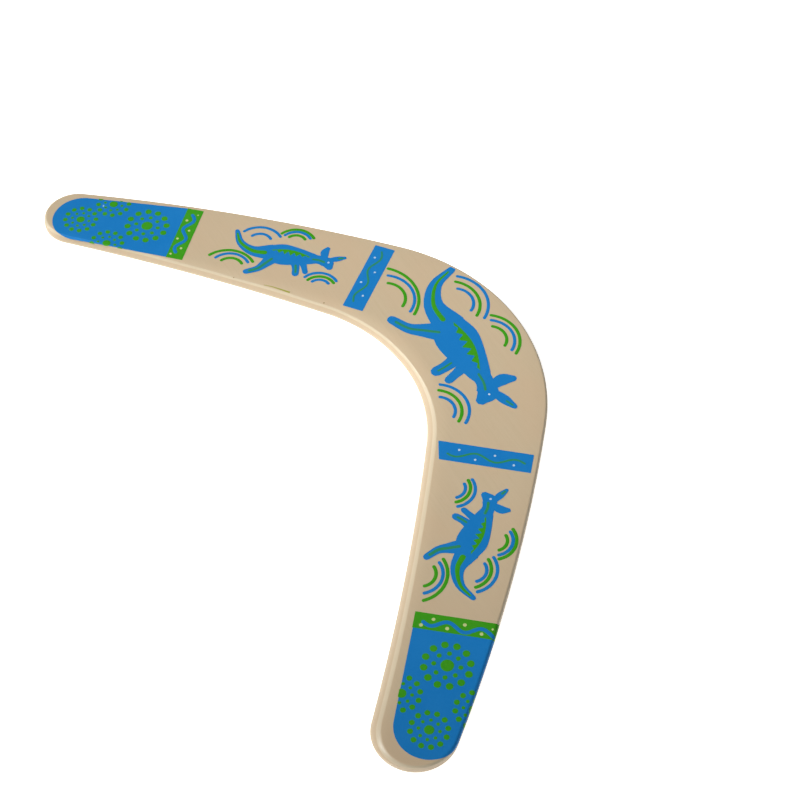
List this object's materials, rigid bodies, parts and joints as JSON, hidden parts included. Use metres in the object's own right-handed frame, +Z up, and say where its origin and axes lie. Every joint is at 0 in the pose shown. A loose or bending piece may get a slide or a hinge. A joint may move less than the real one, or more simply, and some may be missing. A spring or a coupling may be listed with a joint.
{
  "type": "boomerang",
  "caption": "Flat wide V of light plywood with round tips, a bevelled inner edge and a print of panels, bars and kangaroos on its top face.",
  "frame": {"origin": "on the elbow's middle line, half-way up the footprint's depth, on the surface that the boomerang lies on; the left tip is sawn a little short, so the footprint's box is centred about 1 mm to the right of it", "axes": "+X along the span from the left tip to the right tip, +Y out through the middle of the elbow, +Z up through the printed face"},
  "size_m": [0.3977, 0.186, 0.0051],
  "materials": {
    "face_veneer": "satin clear lacquer",
    "core_veneer": "sanded edge, satin clear lacquer",
    "blue_ink": "flat printed ink under clear lacquer",
    "green_ink": "flat printed ink under clear lacquer",
    "white_ink": "flat printed ink under clear lacquer"
  },
  "bodies": {
    "root": {"bottom_face_ply": "face_veneer", "core_ply": "core_veneer", "top_face_ply": "face_veneer", "left_tip_print": "blue_ink", "left_band_print": "green_ink", "left_bar_print": "blue_ink", "left_kangaroo_print": "blue_ink", "right_tip_print": "blue_ink", "right_band_print": "green_ink", "right_bar_print": "blue_ink", "right_kangaroo_print": "blue_ink", "elbow_kangaroo_print": "blue_ink"}
  },
  "joints": []
}
